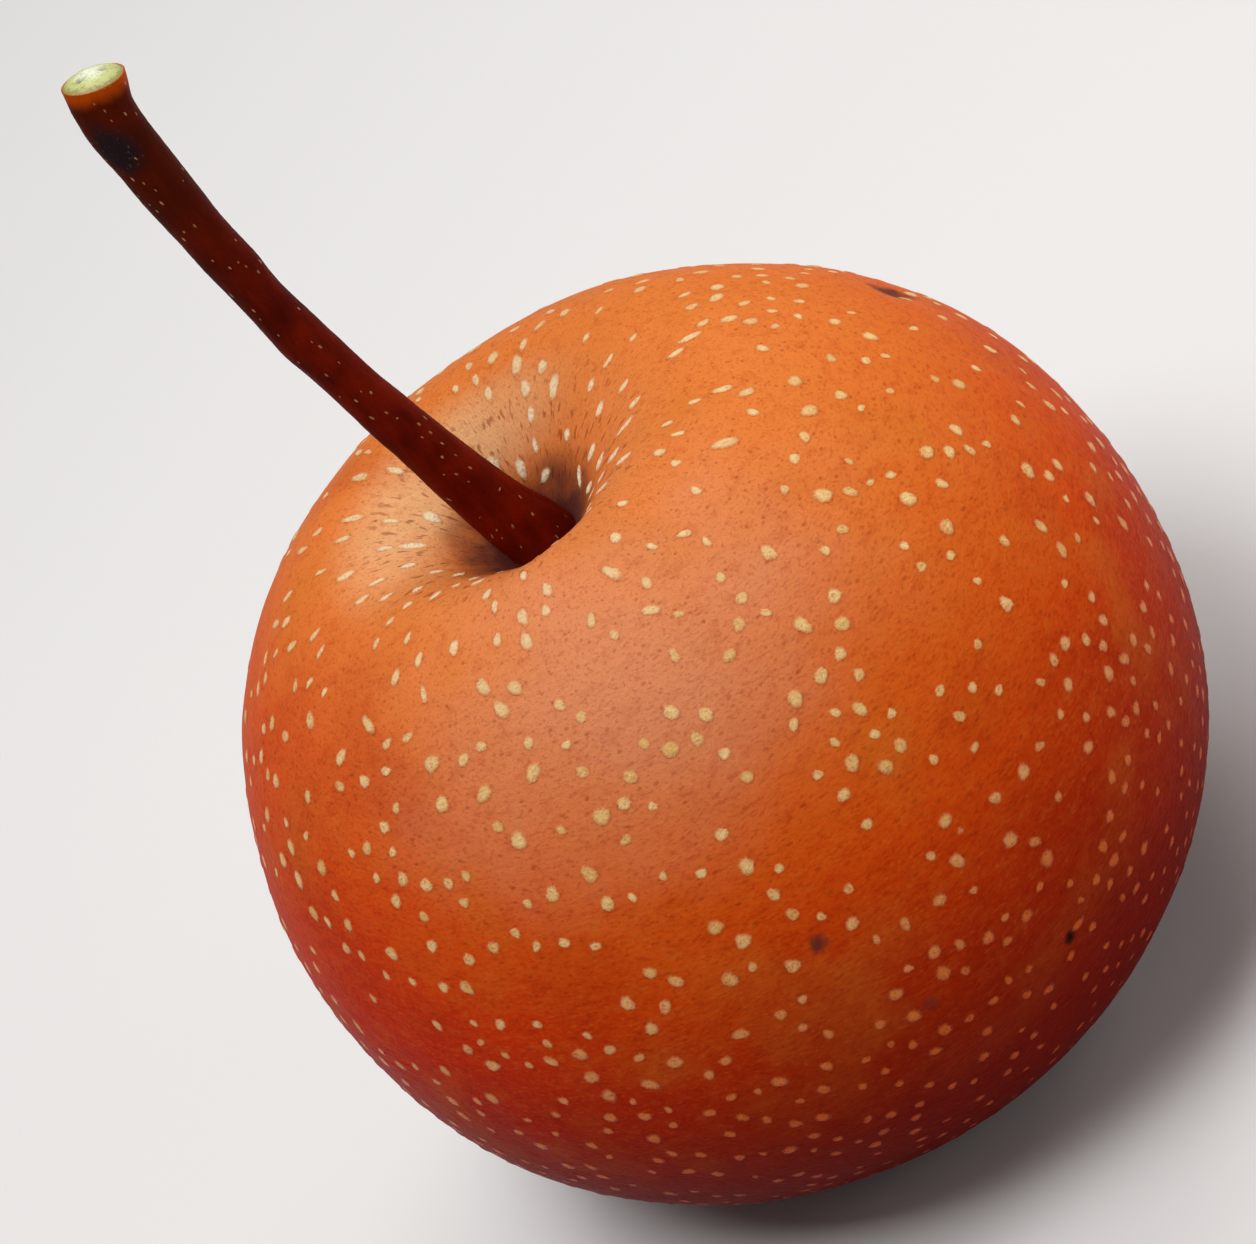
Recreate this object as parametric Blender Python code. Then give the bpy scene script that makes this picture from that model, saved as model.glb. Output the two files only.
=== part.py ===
"""Asian pear: a round russet fruit with a long curved stem, standing upright on its base.

Metres, +Z up. The origin is the middle of the fruit's footprint, on the surface it stands on.
The fruit is a turned profile that is then pushed slightly out of round, as a grown fruit is.
The stem is a tapered sweep whose foot stands in a round socket at the bottom of the cavity.
"""

import math

import bmesh
import bpy
from mathutils import Vector

# Fruit: the size of its two halves, above and below the widest level.
FRUIT_RADIUS = 0.0365
CROWN_RISE = 0.0355
BASE_DROP = 0.0318
CROWN_FULLNESS = 2.06
BASE_FULLNESS = 2.18

# Stem cavity: a wide shallow bowl with a cone in its middle, grown a little to one side.
BOWL_DEPTH = 0.0030
BOWL_WIDTH = 0.0150
CONE_DEPTH = 0.0095
CONE_WIDTH = 0.0087
CONE_ROUNDING = 1.5
CAVITY_DRIFT = 0.0016

# Calyx basin under the fruit, and how much of its rim is pressed flat where the fruit stands.
BASIN_DEPTH = 0.0050
BASIN_WIDTH = 0.0100
RIM_FLAT = 0.00025

# How far the fruit is out of round: slightly oval, three-lobed, and higher at one shoulder.
OVAL = 0.0024
OVAL_BEARING = math.radians(95)
LOBES = 0.0082
LOBE_BEARING = math.radians(47)
HIGH_SHOULDER = 0.036
HIGH_SHOULDER_BEARING = math.radians(203)

# Stem: places on its middle line, measured from the middle of its foot, each with its radius.
STEM_LINE = (
    ((0.0000, 0.0000, 0.0000), 0.00290),
    ((-0.0002, 0.0001, 0.0024), 0.00270),
    ((-0.0011, 0.0003, 0.0060), 0.00235),
    ((-0.0022, 0.0006, 0.0125), 0.00202),
    ((-0.0036, 0.0010, 0.0215), 0.00173),
    ((-0.0048, 0.0015, 0.0330), 0.00166),
    ((-0.0050, 0.0018, 0.0382), 0.00178),
    ((-0.0051, 0.0022, 0.0460), 0.00198),
    ((-0.0049, 0.0024, 0.0504), 0.00213),
    ((-0.0042, 0.0026, 0.0527), 0.00234),
)
STEM_POINTS_PER_SPAN = 5
STEM_BEVEL_RESOLUTION = 3

# Socket for the stem's foot.
SOCKET_DEPTH = 0.0030
GAP = 0.0004

TURN_STEPS = 64
PROFILE_STEPS = 22


def dome_height(radius, rise, fullness):
    """Height of a superelliptic dome at a distance from its axis."""
    return rise * max(0.0, 1.0 - (radius / FRUIT_RADIUS) ** fullness) ** (1.0 / fullness)


def crown_height(radius):
    """Height of the fruit's top above its widest level, with the stem cavity taken out."""
    bowl = BOWL_DEPTH * math.exp(-((radius / BOWL_WIDTH) ** 2))
    cone = CONE_DEPTH * math.exp(-((radius / CONE_WIDTH) ** CONE_ROUNDING))
    return dome_height(radius, CROWN_RISE, CROWN_FULLNESS) - bowl - cone


def base_height(radius):
    """Height of the fruit's underside, below its widest level and so negative."""
    basin = BASIN_DEPTH * math.exp(-((radius / BASIN_WIDTH) ** 2))
    return basin - dome_height(radius, BASE_DROP, BASE_FULLNESS)


def spaced_radii(first):
    """Radii from near the axis out to just inside the widest level, closer together there."""
    for step in range(PROFILE_STEPS):
        yield first + (FRUIT_RADIUS - first) * math.sin(step / PROFILE_STEPS * math.pi / 2)


def socket_shape():
    """Radius of the stem's socket, and the height of its floor above the widest level."""
    radius = STEM_LINE[0][1] + GAP
    return radius, crown_height(radius) - SOCKET_DEPTH


def fruit_profile():
    """The outline from the socket's floor, over the crown and down to the middle of the basin."""
    radius, floor = socket_shape()
    outline = [(0.0, floor), (radius, floor)]
    outline += [(reach, crown_height(reach)) for reach in spaced_radii(radius)]
    outline.append((FRUIT_RADIUS, 0.0))
    outline += reversed([(reach, base_height(reach)) for reach in spaced_radii(0.0)])
    return outline


def grown(point):
    """Where a point of the turned shape ends up through the fruit's uneven growth."""
    share = min(1.0, math.hypot(point.x, point.y) / FRUIT_RADIUS)
    bearing = math.atan2(point.y, point.x)
    oval = OVAL * math.cos(2 * (bearing - OVAL_BEARING))
    lobes = LOBES * math.cos(3 * (bearing - LOBE_BEARING))
    swell = 1.0 + share * (oval + lobes)
    grown_point = Vector((point.x * swell, point.y * swell, point.z))
    if point.z > 0.0:
        slope = HIGH_SHOULDER * math.cos(bearing - HIGH_SHOULDER_BEARING)
        grown_point.x -= CAVITY_DRIFT * (1.0 - share**2) ** 2
        grown_point.z *= 1.0 + share * slope
    return grown_point


def add_material(obj, name, colour, roughness):
    """Give an object one plain dielectric material."""
    material = bpy.data.materials.new(name)
    material.use_nodes = True
    shader = material.node_tree.nodes["Principled BSDF"]
    shader.inputs["Base Color"].default_value = (*colour, 1.0)
    shader.inputs["Roughness"].default_value = roughness
    shader.inputs["Metallic"].default_value = 0.0
    obj.data.materials.append(material)


def turned_fruit():
    """A closed mesh of the profile turned about +Z and grown out of round."""
    shape = bmesh.new()
    points = [shape.verts.new((radius, 0.0, height)) for radius, height in fruit_profile()]
    edges = [shape.edges.new(pair) for pair in zip(points, points[1:])]
    bmesh.ops.spin(
        shape,
        geom=points + edges,
        cent=(0.0, 0.0, 0.0),
        axis=(0.0, 0.0, 1.0),
        angle=2 * math.pi,
        steps=TURN_STEPS,
        use_merge=True,
    )
    bmesh.ops.remove_doubles(shape, verts=shape.verts, dist=1e-6)
    for vert in shape.verts:
        vert.co = grown(vert.co)
    return shape


def make_fruit_body():
    """Make the fruit and stand it on its pressed rim, centred over the origin."""
    shape = turned_fruit()
    ground = min(vert.co.z for vert in shape.verts) + RIM_FLAT
    middle_x = (min(v.co.x for v in shape.verts) + max(v.co.x for v in shape.verts)) / 2
    middle_y = (min(v.co.y for v in shape.verts) + max(v.co.y for v in shape.verts)) / 2
    for vert in shape.verts:
        vert.co.z = max(vert.co.z, ground)
    bmesh.ops.recalc_face_normals(shape, faces=shape.faces)
    mesh = bpy.data.meshes.new("fruit_body")
    shape.to_mesh(mesh)
    shape.free()
    mesh.shade_smooth()
    body = bpy.data.objects.new("fruit_body", mesh)
    body.location = (-middle_x, -middle_y, -ground)
    bpy.context.collection.objects.link(body)
    add_material(body, "russet_skin", (0.55, 0.16, 0.03), 0.45)
    return body


def make_stem(body):
    """Sweep the stem along its line, up from the socket in the fruit."""
    curve = bpy.data.curves.new("stem", "CURVE")
    curve.dimensions = "3D"
    curve.bevel_depth = 1.0
    curve.bevel_resolution = STEM_BEVEL_RESOLUTION
    curve.resolution_u = STEM_POINTS_PER_SPAN
    curve.use_fill_caps = True
    line = curve.splines.new("BEZIER")
    line.bezier_points.add(len(STEM_LINE) - 1)
    for point, (place, radius) in zip(line.bezier_points, STEM_LINE):
        point.co = place
        point.radius = radius
        point.handle_left_type = "AUTO"
        point.handle_right_type = "AUTO"
    stem = bpy.data.objects.new("stem", curve)
    floor = socket_shape()[1]
    stem.location = body.location + Vector((-CAVITY_DRIFT, 0.0, floor + GAP))
    bpy.context.collection.objects.link(stem)
    add_material(stem, "stem_bark", (0.09, 0.012, 0.005), 0.5)
    return stem


def main():
    """Clear the scene and make both pieces."""
    for obj in list(bpy.data.objects):
        bpy.data.objects.remove(obj, do_unlink=True)
    body = make_fruit_body()
    make_stem(body)


if __name__ == "__main__":
    main()
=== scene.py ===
"""Asian pear: the looks of a russet fruit and its stem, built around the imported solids.

The fruit's skin is one surface that follows the grower's rule of the solid: two superelliptic
halves with a stem cavity and a calyx basin, pushed slightly out of round. Its lenticels, the
specks between them and the flecks of the stem are scattered over the finished surfaces. The
stem is swept along the middle line of the solid stem and ends in a fresh cut.

Metres, +Z up. Every piece rides on the one body of the part.
"""

import logging
import math
from dataclasses import dataclass, field
from enum import Enum
from typing import Any, Optional, Sequence, Union

import bmesh
import bpy
from mathutils import Matrix, Vector


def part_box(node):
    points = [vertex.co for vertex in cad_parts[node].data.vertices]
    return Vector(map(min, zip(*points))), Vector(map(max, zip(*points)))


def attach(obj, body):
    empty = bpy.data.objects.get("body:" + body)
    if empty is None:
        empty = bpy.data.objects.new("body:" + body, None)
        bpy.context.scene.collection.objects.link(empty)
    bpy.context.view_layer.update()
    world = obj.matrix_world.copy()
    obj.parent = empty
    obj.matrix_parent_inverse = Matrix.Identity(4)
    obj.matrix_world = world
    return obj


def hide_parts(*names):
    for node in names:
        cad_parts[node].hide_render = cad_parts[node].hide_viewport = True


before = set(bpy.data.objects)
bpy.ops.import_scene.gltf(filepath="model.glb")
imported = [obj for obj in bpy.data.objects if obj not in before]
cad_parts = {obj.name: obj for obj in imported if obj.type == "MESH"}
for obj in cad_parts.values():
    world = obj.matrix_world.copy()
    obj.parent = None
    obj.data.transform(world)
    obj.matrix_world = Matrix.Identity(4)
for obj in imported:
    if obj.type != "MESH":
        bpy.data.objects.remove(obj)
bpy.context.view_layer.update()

BODY = "root"
FRUIT_NODE = "fruit_body"
STEM_NODE = "stem"
SKIN_SLOT = "russet_skin"
BARK_SLOT = "stem_bark"
MM = 0.001

log = logging.getLogger("asian_pear")

Colour = tuple[float, float, float]
Operand = Union[float, Sequence[float], "Value"]


# ---------------------------------------------------------------- node graphs


class Value:
    """What one socket gives in a node graph. Arithmetic on it adds Math nodes."""

    def __init__(self, graph: "Graph", socket: bpy.types.NodeSocket) -> None:
        """Wrap a socket of a graph.

        Args:
            graph: The graph that the socket is in.
            socket: An output socket of one of its nodes.
        """
        self.graph = graph
        self.socket = socket

    @property
    def is_vector(self) -> bool:
        """Whether the socket gives a vector."""
        return self.socket.type == "VECTOR"

    def __add__(self, other: Operand) -> "Value":
        """Sum."""
        return self.graph.arithmetic("ADD", self, other)

    def __radd__(self, other: Operand) -> "Value":
        """Sum with a plain number on the left."""
        return self.graph.arithmetic("ADD", other, self)

    def __sub__(self, other: Operand) -> "Value":
        """Difference."""
        return self.graph.arithmetic("SUBTRACT", self, other)

    def __rsub__(self, other: Operand) -> "Value":
        """Difference with a plain number on the left."""
        return self.graph.arithmetic("SUBTRACT", other, self)

    def __mul__(self, other: Operand) -> "Value":
        """Product."""
        return self.graph.arithmetic("MULTIPLY", self, other)

    def __rmul__(self, other: Operand) -> "Value":
        """Product with a plain number on the left."""
        return self.graph.arithmetic("MULTIPLY", other, self)

    def __truediv__(self, other: Operand) -> "Value":
        """Quotient."""
        return self.graph.arithmetic("DIVIDE", self, other)

    def __pow__(self, other: Operand) -> "Value":
        """Power of a number."""
        return self.graph.arithmetic("POWER", self, other)


class Made:
    """A node that a graph has made, whose outputs are read by name."""

    def __init__(self, graph: "Graph", node: bpy.types.Node) -> None:
        """Wrap a node of a graph.

        Args:
            graph: The graph that the node is in.
            node: The node.
        """
        self.graph = graph
        self.node = node

    def __getitem__(self, key: Union[int, str]) -> Value:
        """The output socket with that name, identifier or number."""
        return Value(self.graph, Graph.find(self.node.outputs, key))


class Graph:
    """A node tree that is written as expressions. It serves shaders and geometry alike."""

    def __init__(self, tree: bpy.types.NodeTree) -> None:
        """Start writing in a tree.

        Args:
            tree: A shader or geometry node tree.
        """
        self.tree = tree

    @staticmethod
    def find(sockets: Sequence[bpy.types.NodeSocket], key: Union[int, str]) -> bpy.types.NodeSocket:
        """Look a socket up.

        Args:
            sockets: The inputs or the outputs of a node.
            key: Its number, its identifier, or the name of the first socket in use.

        Returns:
            The socket.
        """
        if isinstance(key, int):
            return sockets[key]
        for socket in sockets:
            if socket.identifier == key and socket.enabled:
                return socket
        for socket in sockets:
            if socket.name == key and socket.enabled:
                return socket
        raise KeyError(f"no socket {key!r} among {[s.name for s in sockets]}")

    def feed(self, socket: bpy.types.NodeSocket, value: Any) -> None:
        """Link a value to a socket, or set the socket to a plain value.

        Args:
            socket: An input socket.
            value: A Value to link, or a number, text, colour, vector or data block.
        """
        if isinstance(value, Value):
            self.tree.links.new(value.socket, socket)
            return
        if socket.type in {"VECTOR", "ROTATION"} and isinstance(value, (int, float)):
            value = (value, value, value)
        if socket.type == "RGBA" and len(value) == 3:
            value = (*value, 1.0)
        socket.default_value = value

    def node(
        self,
        kind: str,
        settings: Optional[dict[str, Any]] = None,
        inputs: Optional[dict[Union[int, str], Any]] = None,
    ) -> Made:
        """Make any node.

        Args:
            kind: The node's type.
            settings: Its properties, set first. "stops" are a colour ramp's places and colours.
            inputs: Values or links for its sockets.

        Returns:
            The node, ready for its outputs to be read.
        """
        node = self.tree.nodes.new(kind)
        for name, setting in (settings or {}).items():
            if name == "stops":
                self._set_stops(node.color_ramp, setting)
            else:
                setattr(node, name, setting)
        for key, value in (inputs or {}).items():
            self.feed(self.find(node.inputs, key), value)
        return Made(self, node)

    @staticmethod
    def _set_stops(ramp: bpy.types.ColorRamp, stops: Sequence[tuple[float, Colour]]) -> None:
        """Give a colour ramp its stops.

        Args:
            ramp: The ramp of a fresh node, which has two stops.
            stops: Places from 0 to 1, each with a colour.
        """
        while len(ramp.elements) < len(stops):
            ramp.elements.new(1.0)
        for element, (place, colour) in zip(ramp.elements, stops):
            element.position = place
            element.color = (*colour, 1.0)

    def arithmetic(self, operation: str, first: Operand, second: Operand) -> Value:
        """Add the Math or Vector Math node of an operation on two values.

        Args:
            operation: The operation's name.
            first: The left operand.
            second: The right operand.

        Returns:
            The result.
        """
        if any(isinstance(side, Value) and side.is_vector for side in (first, second)):
            return self.vector(operation, first, second)
        return self.math(operation, first, second)

    def math(self, operation: str, *operands: Operand) -> Value:
        """Add a Math node."""
        inputs = dict(enumerate(operands))
        return self.node("ShaderNodeMath", {"operation": operation}, inputs)["Value"]

    def vector(self, operation: str, *operands: Operand) -> Value:
        """Add a Vector Math node, and give its vector."""
        inputs = dict(enumerate(operands))
        return self.node("ShaderNodeVectorMath", {"operation": operation}, inputs)["Vector"]

    def length(self, vector: Value) -> Value:
        """The length of a vector."""
        return self.node("ShaderNodeVectorMath", {"operation": "LENGTH"}, {0: vector})["Value"]

    def split(self, vector: Value) -> tuple[Value, Value, Value]:
        """The three parts of a vector."""
        parts = self.node("ShaderNodeSeparateXYZ", inputs={"Vector": vector})
        return parts["X"], parts["Y"], parts["Z"]

    def join(self, x: Operand, y: Operand, z: Operand) -> Value:
        """A vector from its three parts."""
        return self.node("ShaderNodeCombineXYZ", inputs={"X": x, "Y": y, "Z": z})["Vector"]

    def step(self, value: Value, low: Operand, high: Operand) -> Value:
        """A smooth step from 0 at low to 1 at high.

        Args:
            value: The value that crosses the step.
            low: Where the step is still 0.
            high: Where the step has reached 1. It may be the smaller one.

        Returns:
            A number from 0 to 1.
        """
        return self.node(
            "ShaderNodeMapRange",
            {"interpolation_type": "SMOOTHSTEP"},
            {"Value": value, "From Min": low, "From Max": high},
        )["Result"]

    def bell(self, value: Value, width: float) -> Value:
        """A bell curve that is 1 where the value is 0, and falls away over a width."""
        return self.math("EXPONENT", (value / width) ** 2 * -1.0)

    def noise(self, place: Value, grain: float, detail: float = 2.0, roughness: float = 0.5) -> Value:
        """Smooth noise around 0.5.

        Args:
            place: Where it is read, in metres.
            grain: The size of its lumps, in metres.
            detail: How many finer layers it has.
            roughness: How strong the finer layers are.

        Returns:
            A number from 0 to 1.
        """
        inputs = {"Vector": place, "Scale": 1.0 / grain, "Detail": detail, "Roughness": roughness}
        return self.node("ShaderNodeTexNoise", inputs=inputs)[0]

    def blend(self, share: Operand, first: Any, second: Any, mode: str = "MIX") -> Value:
        """Mix two colours.

        Args:
            share: How much of the second colour there is, from 0 to 1.
            first: The first colour.
            second: The second colour.
            mode: How the second one is laid over the first.

        Returns:
            The mixed colour.
        """
        return self.node(
            "ShaderNodeMix",
            {"data_type": "RGBA", "blend_type": mode},
            {"Factor_Float": share, "A_Color": first, "B_Color": second},
        )["Result_Color"]

    def attribute(self, name: str) -> Value:
        """A number that the piece's own mesh carries, for a shader."""
        return self.node("ShaderNodeAttribute", {"attribute_name": name})["Fac"]


class GeometryGraph(Graph):
    """A geometry node tree with named inputs, run once on an object."""

    def __init__(self, name: str, inputs: dict[str, Any]) -> None:
        """Make an empty tree with its inputs.

        Args:
            name: The tree's name.
            inputs: Each input's name and value, which is a number, a whole number, a vector,
                an object or a material.
        """
        super().__init__(bpy.data.node_groups.new(name, "GeometryNodeTree"))
        self.tree.is_modifier = True
        face = self.tree.interface
        face.new_socket(name="Geometry", in_out="INPUT", socket_type="NodeSocketGeometry")
        face.new_socket(name="Geometry", in_out="OUTPUT", socket_type="NodeSocketGeometry")
        self.values = inputs
        self.identifiers = {
            label: face.new_socket(
                name=label, in_out="INPUT", socket_type=self._socket_type(value)
            ).identifier
            for label, value in inputs.items()
        }
        self.source = self.node("NodeGroupInput")
        self.result = self.node("NodeGroupOutput")

    @staticmethod
    def _socket_type(value: Any) -> str:
        """The type of socket that holds a value.

        Args:
            value: The value that the input starts with.

        Returns:
            The socket's type.
        """
        if isinstance(value, bpy.types.Object):
            return "NodeSocketObject"
        if isinstance(value, bpy.types.Material):
            return "NodeSocketMaterial"
        if isinstance(value, int):
            return "NodeSocketInt"
        if isinstance(value, float):
            return "NodeSocketFloat"
        return "NodeSocketVector"

    def __getitem__(self, label: str) -> Value:
        """The tree's input with that name."""
        return self.source[label]

    def moved(self, geometry: Value, place: Optional[Value] = None, by: Optional[Value] = None) -> Value:
        """Move a geometry's points.

        Args:
            geometry: The geometry.
            place: Where each point goes, or None to keep its place.
            by: How far each point is moved, or None.

        Returns:
            The moved geometry.
        """
        inputs = {"Geometry": geometry}
        if place is not None:
            inputs["Position"] = place
        if by is not None:
            inputs["Offset"] = by
        return self.node("GeometryNodeSetPosition", inputs=inputs)["Geometry"]

    def stored(
        self, geometry: Value, name: str, value: Value, domain: str = "POINT", kind: str = "FLOAT"
    ) -> Value:
        """Keep a value on a geometry under a name, for its finish or a later node to read.

        Args:
            geometry: The geometry.
            name: The attribute's name.
            value: What is kept for each element.
            domain: Which elements have it.
            kind: The attribute's data type.

        Returns:
            The geometry with the attribute.
        """
        return self.node(
            "GeometryNodeStoreNamedAttribute",
            {"data_type": kind, "domain": domain},
            {"Geometry": geometry, "Name": name, "Value": value},
        )["Geometry"]

    def random(self, low: float, high: float, seed: int) -> Value:
        """A random number for each element, from a fixed seed."""
        inputs = {"Min": low, "Max": high, "Seed": seed}
        return self.node("FunctionNodeRandomValue", {"data_type": "FLOAT"}, inputs)["Value"]

    def finish(self, geometry: Value) -> None:
        """End the tree with real, smooth faces in its Material input.

        Args:
            geometry: What the tree has made.
        """
        real = self.node("GeometryNodeRealizeInstances", inputs={"Geometry": geometry})["Geometry"]
        smooth = self.node("GeometryNodeSetShadeSmooth", inputs={0: real})[0]
        inputs = {"Geometry": smooth, "Material": self["Material"]}
        dressed = self.node("GeometryNodeSetMaterial", inputs=inputs)["Geometry"]
        self.feed(self.result.node.inputs["Geometry"], dressed)

    def run_on(self, piece: bpy.types.Object) -> bpy.types.Object:
        """Run the tree on an object, and leave the result on it as a plain mesh.

        Args:
            piece: The object whose mesh goes in.

        Returns:
            The same object.
        """
        modifier = piece.modifiers.new(self.tree.name, "NODES")
        modifier.node_group = self.tree
        for label, identifier in self.identifiers.items():
            modifier[identifier] = self.values[label]
        view = bpy.context.evaluated_depsgraph_get()
        plain = bpy.data.meshes.new_from_object(piece.evaluated_get(view))
        plain.materials.clear()
        plain.materials.append(self.values["Material"])
        plain.polygons.foreach_set("material_index", [0] * len(plain.polygons))
        piece.modifiers.remove(modifier)
        before = piece.data
        piece.data = plain
        plain.name = piece.name
        bpy.data.meshes.remove(before)
        return piece


def new_piece(name: str, mesh: Optional[bpy.types.Mesh] = None) -> bpy.types.Object:
    """Put a mesh object in the scene, at the origin.

    Args:
        name: The piece's name.
        mesh: Its mesh, or None for an empty one.

    Returns:
        The object.
    """
    piece = bpy.data.objects.new(name, mesh or bpy.data.meshes.new(name))
    bpy.context.scene.collection.objects.link(piece)
    return piece


def mesh_from(shape: bmesh.types.BMesh, name: str) -> bpy.types.Mesh:
    """Turn a finished bmesh into a smooth mesh, and free the bmesh.

    Args:
        shape: The finished bmesh, which is freed.
        name: The mesh's name.

    Returns:
        The mesh.
    """
    mesh = bpy.data.meshes.new(name)
    shape.to_mesh(mesh)
    shape.free()
    mesh.shade_smooth()
    return mesh


# ------------------------------------------------------------------- finishes


@dataclass(frozen=True)
class Finish:
    """A Principled finish. Its kinds say how colour, gloss and relief change over a piece."""

    name: str

    def material(self) -> bpy.types.Material:
        """Make the finish.

        Returns:
            The material.
        """
        material = bpy.data.materials.new(self.name)
        material.use_nodes = True
        graph = Graph(material.node_tree)
        self.paint(graph, material.node_tree.nodes["Principled BSDF"])
        return material

    def paint(self, graph: Graph, shader: bpy.types.Node) -> None:
        """Write the finish's nodes.

        Args:
            graph: The material's graph.
            shader: Its Principled node.
        """
        raise NotImplementedError

    @staticmethod
    def place(graph: Graph) -> Value:
        """The place on the piece, in metres from the part's origin."""
        return graph.node("ShaderNodeTexCoord")["Object"]

    @staticmethod
    def relief(graph: Graph, shader: bpy.types.Node, height: Value, depth: float) -> None:
        """Let a height shade the surface.

        Args:
            graph: The material's graph.
            shader: Its Principled node.
            height: A height from 0 to 1.
            depth: What a height of 1 stands for, in metres.
        """
        inputs = {"Height": height, "Distance": depth, "Strength": 1.0}
        normal = graph.node("ShaderNodeBump", inputs=inputs)["Normal"]
        graph.feed(shader.inputs["Normal"], normal)


@dataclass(frozen=True)
class Mark:
    """A mark that handling or weather has left on the skin."""

    place: Vector
    reach: float
    dent: float
    colour: Colour
    strength: float


@dataclass(frozen=True)
class RussetSkin(Finish):
    """Russet skin: orange on the crown, red-brown and darker below, partly its own colour and partly
    painted shade of the underside, with a painted sheen, mottling and fine corky grain.
    """

    crown: Vector
    painted_sheen_middle: Vector
    low: float
    high: float
    marks: tuple[Mark, ...] = ()
    # Colours from base to crown: partly ripening, partly painted shade, darkest at the base where the
    # underside lies in shade.
    ripening_and_painted_shade: tuple[tuple[float, Colour], ...] = (
        (0.10, (0.105, 0.0020, 0.0002)),
        (0.28, (0.170, 0.0050, 0.0004)),
        (0.40, (0.290, 0.0150, 0.0010)),
        (0.52, (0.450, 0.0310, 0.0018)),
        (0.63, (0.620, 0.0630, 0.0032)),
        (0.74, (0.680, 0.1020, 0.0085)),
        (0.85, (0.720, 0.1600, 0.0230)),
        (0.97, (0.770, 0.2150, 0.0450)),
    )
    rust: Colour = (0.75, 0.50, 0.45)
    honey: Colour = (0.56, 0.170, 0.018)
    painted_sheen: Colour = (0.76, 0.360, 0.230)
    speck: Colour = (0.24, 0.022, 0.006)
    dusk: Colour = (0.55, 0.30, 0.25)
    blush: Colour = (0.98, 0.46, 0.40)
    straw: Colour = (0.86, 0.470, 0.220)
    hollow_shade: Colour = (0.050, 0.014, 0.022)
    specular: float = 0.012
    grain_depth: float = 0.13 * MM

    def grain_place(self, graph: Graph, place: Value, along: float) -> Value:
        """A place for grain that is drawn out round the fruit.

        Args:
            graph: The material's graph.
            place: The place on the piece.
            along: How much shorter a step round the fruit counts than a step along it.

        Returns:
            The place as distance from the axis, height, and shortened way round.
        """
        x, y, z = graph.split(place)
        reach = graph.math("SQRT", x * x + y * y)
        bearing = graph.math("ARCTAN2", x, y * -1.0)
        return graph.join(reach, z, bearing * (0.03 * along))

    def ground(self, graph: Graph, place: Value) -> Value:
        """The skin's colour without its grain: dark red-brown at the base and orange at the shoulder,
        partly ripening and partly painted shade that darkens the underside.

        Args:
            graph: The material's graph.
            place: The place on the piece.

        Returns:
            The colour.
        """
        x, _, height = graph.split(place)
        clouds = graph.noise(place, 15 * MM, 3.0, 0.55)
        patches = graph.noise(place + (0.3, 0.1, 0.7), 10 * MM, 2.0, 0.5)
        level = (height - self.low) / (self.high - self.low) + (clouds - 0.5) * 0.16
        colour = graph.node("ShaderNodeValToRGB", {"stops": self.ripening_and_painted_shade}, {"Fac": level})["Color"]
        middle = graph.step(level, 0.25, 0.6)
        side = graph.step(x + (patches - 0.5) * 8 * MM, -10 * MM, -34 * MM)
        colour = graph.blend(side, colour, self.blush, "MULTIPLY")
        colour = graph.blend(graph.step(clouds, 0.50, 0.70) * 0.55, colour, self.rust, "MULTIPLY")
        return graph.blend(graph.step(patches, 0.50, 0.70) * middle * 0.24, colour, self.honey)

    def colour(self, graph: Graph, place: Value) -> Value:
        """The skin's colour at a place.

        Args:
            graph: The material's graph.
            place: The place on the piece.

        Returns:
            The colour.
        """
        drawn = self.grain_place(graph, place, 0.6)
        mottle = graph.noise(drawn, 0.9 * MM, 3.0, 0.6)
        fine = graph.noise(drawn, 0.24 * MM, 2.0, 0.6)
        dots = graph.node(
            "ShaderNodeTexVoronoi", inputs={"Vector": drawn, "Scale": 1.0 / (0.80 * MM)}
        )["Distance"]
        colour = self.ground(graph, place)
        # painted sheen: a pale milky patch on the front of the shoulder stands in for a broad soft
        # highlight
        colour = graph.blend(self.painted_sheen_mask(graph, place), colour, self.painted_sheen)
        # paler cavity wall: partly its own paler cork, partly painted light on the far wall
        colour = graph.blend(self.wall(graph, place), colour, self.straw)
        colour = graph.blend(self.pores(graph, place), colour, self.speck)
        upper = graph.step(graph.split(place)[2], self.low + 0.012, self.low + 0.040)
        colour = graph.blend(graph.step(mottle, 0.45, 0.75) * 0.45, colour, self.rust, "MULTIPLY")
        colour = graph.blend(graph.step(mottle, 0.50, 0.28) * upper * 0.16, colour, self.honey)
        colour = graph.blend(graph.step(fine, 0.50, 0.72) * 0.42, colour, self.dusk, "MULTIPLY")
        colour = graph.blend(graph.step(fine, 0.44, 0.26) * upper * 0.32, colour, self.honey)
        colour = graph.blend(graph.step(dots, 0.23, 0.10) * 0.34, colour, self.speck)
        for mark in self.marks:
            colour = graph.blend(self.mark_mask(graph, place, mark), colour, mark.colour)
        return graph.blend(self.hollow(graph, place) * 0.9, colour, self.hollow_shade)

    def painted_sheen_mask(self, graph: Graph, place: Value) -> Value:
        """How strong the painted sheen is: a pale milky patch painted where the broad soft highlight
        falls on the front of the shoulder, and patchy.

        Args:
            graph: The material's graph.
            place: The place on the piece.

        Returns:
            A share from 0 to 1.
        """
        film = graph.noise(place + (0.9, 0.5, 0.2), 9 * MM, 2.0, 0.5)
        apart = graph.length((place - tuple(self.painted_sheen_middle)) * (0.75, 1.0, 1.2))
        return graph.step(apart + (film - 0.5) * 14 * MM, 20 * MM, 2 * MM) * 0.42

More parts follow.
